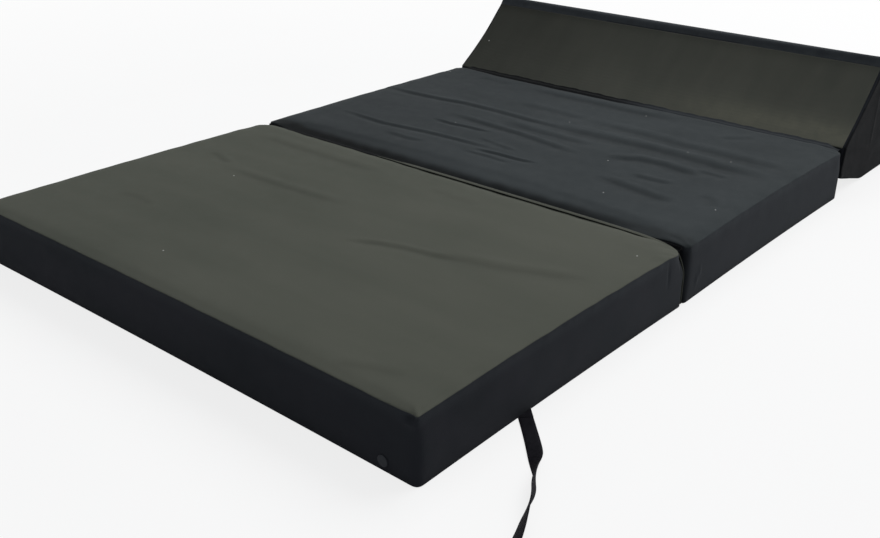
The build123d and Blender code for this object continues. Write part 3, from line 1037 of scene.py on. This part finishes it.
def headrest_cushion():
    """The headrest wedge: a closed cushion in black cloth, and the dark olive panel on its face."""
    corners = headrest_corners()
    outline = arc_outline(corners, section_radii, section_step)
    outward = outline_normals(outline)
    outline = outline - outward * skin_inset
    hub = np.array([headrest_y + face_top[0], joint_face_height])
    half_x = half_width - skin_inset
    seam_x = half_width - side_seam_inset
    radius = headrest_side_radius
    stations = [(half_x, radius, share) for share in np.linspace(0.06, 0.94, 16)]
    for turn in np.linspace(0, math.pi / 2, 5):
        stations.append((half_x - radius * (1 - math.cos(turn)), radius * (1 - math.sin(turn)), 1.0))
    rings = [(-x, inset, scale) for x, inset, scale in stations]
    rings += [(x, 0.0, 1.0) for x in spaced(-seam_x, seam_x, fine_reach, 4, across_steps)]
    rings += stations[::-1]
    middle_y, half_depth = (headrest_y + rear_y) / 2, (rear_y - headrest_y) / 2
    points = []
    for x, inset, scale in rings:
        section = hub + (outline - outward * inset - hub) * scale
        draw = side_draw * (1 - ((section[:, 0] - middle_y) / half_depth) ** 2)
        pulled = x - math.copysign(1, x) * draw * (abs(x) / half_x) ** 8
        points += [(px, py, pz) for px, (py, pz) in zip(pulled, section)]
    count = len(outline)
    faces = []
    marks = []
    hinge_seam = nearest(outline, (headrest_y, top_seam))
    band_seam = nearest(outline, corners[2])
    face_end = band_seam if band_seam > hinge_seam else band_seam + count
    on_face = {k % count for k in range(hinge_seam, face_end)}
    for ring in range(len(rings) - 1):
        between_seams = max(abs(rings[ring][0]), abs(rings[ring + 1][0])) <= seam_x + 1e-6
        for k in range(count):
            a, b = ring * count + k, ring * count + (k + 1) % count
            faces.append([a, b, b + count, a + count])
            marks.append(top_mark if between_seams and k in on_face else 0)
    first, last = len(points), len(points) + 1
    points += [(-half_x + side_draw, *hub), (half_x - side_draw, *hub)]
    end_ring = (len(rings) - 1) * count
    for k in range(count):
        faces.append([(k + 1) % count, k, first])
        faces.append([end_ring + k, end_ring + (k + 1) % count, last])
        marks += [0, 0]
    cushion = linked("headrest_cushion", points, faces, [black, black], marks)
    x, y, z = points_of(cushion.data).T
    held = np.isin(np.arange(len(x)) % count, [hinge_seam, band_seam])
    held |= (np.abs(np.abs(x) - seam_x) < 0.001) | (z < 0.004)
    held |= (z > 0.06) & (z < 0.15) & (y > rear_y - 0.1)
    held[-2:] = True
    simulated(cushion, held, np.full(len(x), headrest_swell), pressure=3.0)
    refined(cushion)

    x, y, z = points_of(cushion.data).T
    panel, under = cloth_panel(cushion, top_mark, "headrest_face_cloth", dark_olive)
    # Painted light low on the face towards the right
    pale = 0.72 * eased((under[:, 0] + 0.1) / 0.5) * bell(under[:, 2] - 0.14, 0.026)
    # Painted shade towards the left of the face and along the band
    dim_left = 0.48 * eased((0.05 - under[:, 0]) / 0.65)
    by_band = 0.25 * bell(under[:, 2] - block_height - face_top[1], 0.012)
    set_values(panel, wear=pale, shade=dim_left + by_band)
    # The crest band paler; painted shade on the sides and at the joint
    on_side = np.abs(x) > half_x - 0.006
    on_band = (z > block_height + face_top[1]) & (np.abs(x) < half_x - 0.004)
    shade = 0.5 * bell(y - raise_y, joint_shade_width) + 0.92 * on_side
    set_values(cushion, wear=1.0 * on_band, shade=shade)
    black_nodes = ["foam_core", "back_panel", "base_panel", "joint_panel", "left_side", "right_side"]
    stand_for(cushion, "headrest", [f"headrest_{node_name}" for node_name in black_nodes])
    stand_for(panel, "headrest", ["headrest_face_panel"])


# Joint cloths and the bound edge


def joint_cloth(name, joint_y, section, nodes, flush_right):
    """A strip of cover cloth sewn along a joint, that dips between two cushions.
    One that is flush on the right is lower at both tips. The other falls towards them on its front side."""
    line = smooth_line([(0, offset, height) for offset, height in section], 4)[:, 1:]
    outward = outline_normals(line)
    outward[0], outward[-1] = outward[1], outward[-2]
    half = outward * joint_cloth_thickness / 2
    ring = np.concatenate([line + half, (line - half)[::-1]])
    loops = []
    for x in np.linspace(-joint_cloth_reach, joint_cloth_reach, 181):
        sway = 0.0005 * float(waves(x, (0.21, 0.093, 0.041)))
        if flush_right:
            drop = 0.005 * float(eased((abs(x) - joint_cloth_reach + 0.03) / 0.03))
        else:
            drop = 0.009 * float(eased((abs(x) - joint_cloth_reach + 0.09) / 0.09))
            drop *= eased((-0.002 - ring[:, 0]) / 0.006)
        loops.append(np.stack([np.full(len(ring), x), joint_y + ring[:, 0], ring[:, 1] + sway - drop], 1))
    piece = lofted(name, loops, black)
    # Painted shade: dark all along the fold joint's cloth, and on the flush one dark on the left where the
    # joint is deep, paler on the right
    dark = left_share(points_of(piece.data)[:, 0]) if flush_right else 1.0
    set_values(piece, wear=0.7 * (1 - dark), shade=dark)
    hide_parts(*nodes)
    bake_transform(piece)


def turned_down(heights):
    """0 where the bound edge lies along the joint, easing to 1 where it has turned down the corner."""
    return eased((binding_turn_height - heights) / 0.018)


def front_binding():
    """The bound edge along the front block's joint, that turns down its right corner, and its stitches."""
    path = smooth_line(binding_route, 14)
    turned = turned_down(path[:, 2])
    ups = unit(np.stack([turned, -0.4 * turned, 1 - turned], 1))
    taper = eased((path[:, 0] - path[0, 0]) / 0.12) * 0.85 + 0.15
    across = binding_half_width * (1 - 0.68 * turned) * taper
    binding = flat_tube("front_binding", path, ups, across, binding_half_height * taper, olive)
    # Paler along the flat run; painted shade where it turns down the corner
    down = turned_down(points_of(binding.data)[:, 2])
    set_values(binding, wear=0.25 * (1 - down), shade=0.75 * down)
    stand_for(binding, "front", [])
    level = turned < 0.2
    rows = stitch_row(path[level], ups[level], binding_half_height)
    stitches = repeated("front_binding_stitches", stitch_size, rows, thread)
    stand_for(stitches, "front", [])


# Zips


def zip_trim(section, origin, along, across, length):
    """What is sewn round a zip: its teeth, the welt of cloth round the slot and the rows of stitches."""
    out = np.cross(along, across)
    slider_ends = [float((np.array(corner) - origin) @ along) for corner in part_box(f"{section}_zip_slider")]
    start = -length / 2 + tooth_pitch
    frames = []
    for place in np.arange(start, length / 2 - tooth_pitch, tooth_pitch):
        if min(slider_ends) - 0.001 < place < max(slider_ends) + 0.001:
            continue
        frames.append((origin + along * place + out * tooth_lift, across, along, out))
    teeth = repeated(f"{section}_zip_teeth", tooth_size, frames, coil_plastic)
    stand_for(teeth, section, [f"{section}_zip_coil"])

    half_long, half_wide = length / 2 + welt_gap, zip_half_width + welt_gap
    corners = [(-half_long, -half_wide), (half_long, -half_wide)]
    corners += [(half_long, half_wide), (-half_long, half_wide)]
    outline = arc_outline(corners, [welt_corner] * 4, 0.006)
    path = origin + outline[:, :1] * along + outline[:, 1:] * across - out * welt_sink
    ups = np.tile(out, (len(path), 1))
    count = len(path)
    half_across = np.full(count, welt_half_width)
    half_up = welt_sink + welt_rise + 0.0002 * waves(np.arange(count), (7.3, 11.9))
    welt = flat_tube(f"{section}_zip_welt", path, ups, half_across, half_up, black, joined=True)
    set_values(welt, wear=0.35)
    stand_for(welt, section, [])

    ends = np.array([[-length / 2 + 0.004], [0.0], [length / 2 - 0.004]])
    rows = []
    for shift, lift in ((tape_stitch_share * zip_half_width, stitch_size[2] / 2), (half_wide, welt_rise)):
        for side in (-1, 1):
            line = origin + ends * along + across * side * shift
            rows += stitch_row(line, np.tile(out, (3, 1)), lift)
    stitches = repeated(f"{section}_zip_stitches", stitch_size, rows, thread)
    stand_for(stitches, section, [])


def add_zips():
    """The trim of the three zips: on the left sides of the blocks and on the headrest's back."""
    for section in ("front", "middle"):
        low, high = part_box(f"{section}_zip_tapes")
        origin = np.array([low.x, (low.y + high.y) / 2, (low.z + high.z) / 2])
        zip_trim(section, origin, np.array([0, 1, 0]), np.array([0, 0, -1]), high.y - low.y)
    low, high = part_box("headrest_zip_tapes")
    slope = np.array([0, high.y - low.y, low.z - high.z])
    slope /= np.linalg.norm(slope)
    outward = np.array([0, -slope[2], slope[1]])
    origin = np.array((low + high) / 2) + outward * tape_thickness / 2
    zip_trim("headrest", origin, np.array([1, 0, 0]), slope, high.x - low.x)


# Tie strap


def ribbon(name, path, rolls, width, thickness, material):
    """A flat woven ribbon along a path, rolled about its line, with rounded selvedges."""
    selvedge = ((-1.0, 0.35), (-0.96, 0.9), (-0.6, 1.0), (0, 1.0), (0.6, 1.0), (0.96, 0.9), (1.0, 0.35))
    profile = [(share * width / 2, half * thickness / 2) for share, half in selvedge]
    profile += [(across, -up) for across, up in profile[::-1]]
    shares = travelled(path) / travelled(path)[-1]
    nearby = [np.interp(shares + shift, *zip(*rolls)) for shift in np.linspace(-0.05, 0.05, 9)]
    turns = np.radians(np.mean(nearby, 0))
    loops = []
    for here, way, turn in zip(path, directions(path), turns):
        side = np.cross(way, (0, 0, 1))
        side /= np.linalg.norm(side)
        up = np.cross(side, way)
        rolled_side = side * math.cos(turn) + up * math.sin(turn)
        rolled_up = up * math.cos(turn) - side * math.sin(turn)
        loops.append(np.array([here + rolled_side * across + rolled_up * out for across, out in profile]))
    return lofted(name, loops, material)


def tie_strap():
    """The loose webbing strap."""
    controls = [(half_width + across, foot_y + along, height) for across, along, height in strap_route]
    path = smooth_line(controls, 32)
    strap = ribbon("strap_webbing", path, strap_roll, strap_width, strap_thickness, strap_cloth)
    stand_for(strap, "front", ["tie_strap"])


def paint(name, material):
    """Gives a frame node its material."""
    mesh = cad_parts[name].data
    mesh.materials.clear()
    mesh.materials.append(material)


# Floor, light and world


def background_rays(tree):
    """1 where the camera, a reflection or a transmission looks straight at a surface, and 0 for its light."""
    rays = node(tree, "LightPath", {}).outputs
    straight = [rays[f"Is {kind} Ray"] for kind in ("Camera", "Glossy", "Transmission")]
    return calculated(tree, "MAXIMUM", *straight)


def add_floor():
    """A plain pale floor that keeps the object's shadow and turns white further out."""
    material, tree, shader = new_material("floor", 0.9)
    place = object_place(tree)
    mottle = ranged(tree, noise(tree, place, 2), 0.3, 0.7)
    colour = mixed(tree, mottle, (0.91, 0.91, 0.91), (0.93, 0.93, 0.93))
    feed(shader, {"Base Color": colour, "Specular IOR Level": 0})
    distance = node(tree, "VectorMath", {0: place}, operation="LENGTH").outputs["Value"]
    white = ranged(tree, distance, 1.4, 4.5, floor_white, 1.0)
    share = times(tree, background_rays(tree), white)
    glow = node(tree, "Emission", {})
    mix = node(tree, "MixShader", {0: share, 1: shader.outputs[0], 2: glow.outputs[0]})
    feed(tree.nodes["Material Output"], {"Surface": mix.outputs[0]})
    reach = floor_reach
    corners = [(-reach, -reach, 0), (reach, -reach, 0), (reach, reach, 0), (-reach, reach, 0)]
    floor = linked("floor", corners, [[0, 1, 2, 3]], [material])


def add_world():
    """A pale world: white to the camera and in reflections, soft daylight on the object."""
    world = bpy.data.worlds.new("world")
    bpy.context.scene.world = world
    world.use_nodes = True
    tree = world.node_tree
    tree.nodes.clear()
    soft = node(tree, "Background", {"Color": (0.93, 0.96, 1.0), "Strength": daylight})
    plain = node(tree, "Background", {"Color": (1, 1, 1), "Strength": 1})
    mix = node(tree, "MixShader", {0: background_rays(tree), 1: soft.outputs[0], 2: plain.outputs[0]})
    node(tree, "OutputWorld", {0: mix.outputs[0]})


add_camera()
add_world()
add_floor()
add_lamp()
bpy.context.scene.view_settings.view_transform = "Standard"

tie_strap()
block_cushion("front", front_creases, 92, olive)
block_cushion("middle", middle_creases, 140, charcoal)
headrest_cushion()

for section in ("front", "middle", "headrest"):
    paint(f"{section}_zip_tapes", tape_cloth)
    for metal_node in ("zip_stops", "zip_slider", "zip_pull"):
        paint(f"{section}_{metal_node}", slider_metal)
paint("front_stud_cap", stud_metal)
paint("front_stud_washer", slider_metal)
paint("tie_strap_anchor", strap_cloth)
paint("tie_strap_tip", strap_cloth)
fold_nodes = ["front_hinge_strip", "middle_near_hinge_strip"]
raise_nodes = ["middle_far_hinge_strip", "headrest_hinge_strip"]
joint_cloth("fold_joint_cloth", fold_y, fold_section, fold_nodes, False)
joint_cloth("raise_joint_cloth", raise_y, raise_section, raise_nodes, True)
front_binding()
add_zips()
